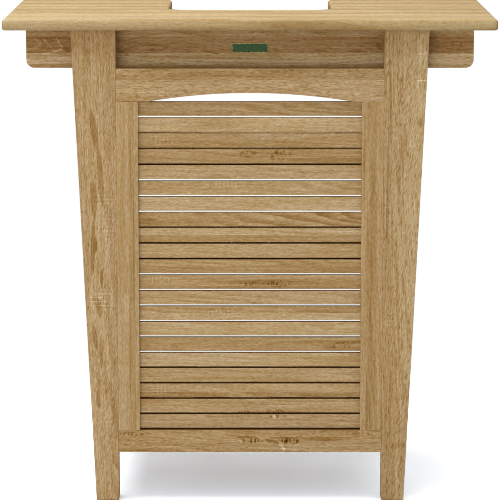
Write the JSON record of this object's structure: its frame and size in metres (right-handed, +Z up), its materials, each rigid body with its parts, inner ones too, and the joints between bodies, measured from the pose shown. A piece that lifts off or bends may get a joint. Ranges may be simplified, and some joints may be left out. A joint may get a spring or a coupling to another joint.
{
  "type": "outdoor bar",
  "caption": "Outdoor wooden bar with a U-shaped plank counter, tapered legs, an arched rail over a slatted front and open-backed shelves.",
  "frame": {"origin": "on the floor under the middle of the counter", "axes": "+Z up, +X to the right as a guest sees the front, +Y from the guests' side to the server's side"},
  "size_m": [1.067, 0.593, 1.072],
  "materials": {
    "counter_wood": "light brown oiled hardwood, sanded, grain from side to side",
    "leg_wood": "light brown hardwood, matt, grain along the leg, faint saw marks",
    "beam_wood": "light brown hardwood in two glued strips, matt, a few knots",
    "frame_wood": "light brown hardwood, matt, grain along each rail and stile",
    "slat_wood": "light brown hardwood, matt, each slat its own tone, grain along the slat",
    "shelf_wood": "light brown hardwood, matt, grain from front to back",
    "inner_wood": "light brown hardwood, plain and matt",
    "steel": "satin stainless steel",
    "green_plate": "dark green enamel, satin",
    "brass": "satin brass"
  },
  "bodies": {
    "root": {"front_plank_1": "counter_wood", "front_plank_2": "counter_wood", "front_plank_3": "counter_wood", "left_wing_plank_1": "counter_wood", "left_wing_plank_2": "counter_wood", "left_wing_plank_3": "counter_wood", "left_wing_plank_4": "counter_wood", "right_wing_plank_1": "counter_wood", "right_wing_plank_2": "counter_wood", "right_wing_plank_3": "counter_wood", "right_wing_plank_4": "counter_wood", "counter_dowels": "inner_wood", "counter_battens": "inner_wood", "batten_screws": "steel", "front_apron_beam": "beam_wood", "rear_apron_beam": "beam_wood", "beam_bolts": "steel", "front_left_leg": "leg_wood", "front_right_leg": "leg_wood", "rear_left_leg": "leg_wood", "rear_right_leg": "leg_wood", "arched_top_rail": "frame_wood", "front_bottom_rail": "frame_wood", "rear_bottom_rail": "frame_wood", "left_stile": "frame_wood", "right_stile": "frame_wood", "front_slat_01": "slat_wood", "front_slat_02": "slat_wood", "front_slat_03": "slat_wood", "front_slat_04": "slat_wood", "front_slat_05": "slat_wood", "front_slat_06": "slat_wood", "front_slat_07": "slat_wood", "front_slat_08": "slat_wood", "front_slat_09": "slat_wood", "front_slat_10": "slat_wood", "front_slat_11": "slat_wood", "front_slat_12": "slat_wood", "front_slat_13": "slat_wood", "front_slat_14": "slat_wood", "front_slat_15": "slat_wood", "front_slat_16": "slat_wood", "front_slat_17": "slat_wood", "front_slat_18": "slat_wood", "front_slat_19": "slat_wood", "front_slat_20": "slat_wood", "front_slat_21": "slat_wood", "left_side_top_rail": "frame_wood", "right_side_top_rail": "frame_wood", "left_side_bottom_rail": "frame_wood", "right_side_bottom_rail": "frame_wood", "left_side_stiles": "frame_wood", "right_side_stiles": "frame_wood", "left_side_slats": "slat_wood", "right_side_slats": "slat_wood", "upper_shelf_boards": "shelf_wood", "middle_shelf_boards": "shelf_wood", "bottom_shelf_boards": "shelf_wood", "shelf_rails": "inner_wood", "bottom_shelf_rails": "inner_wood"}
  },
  "joints": []
}
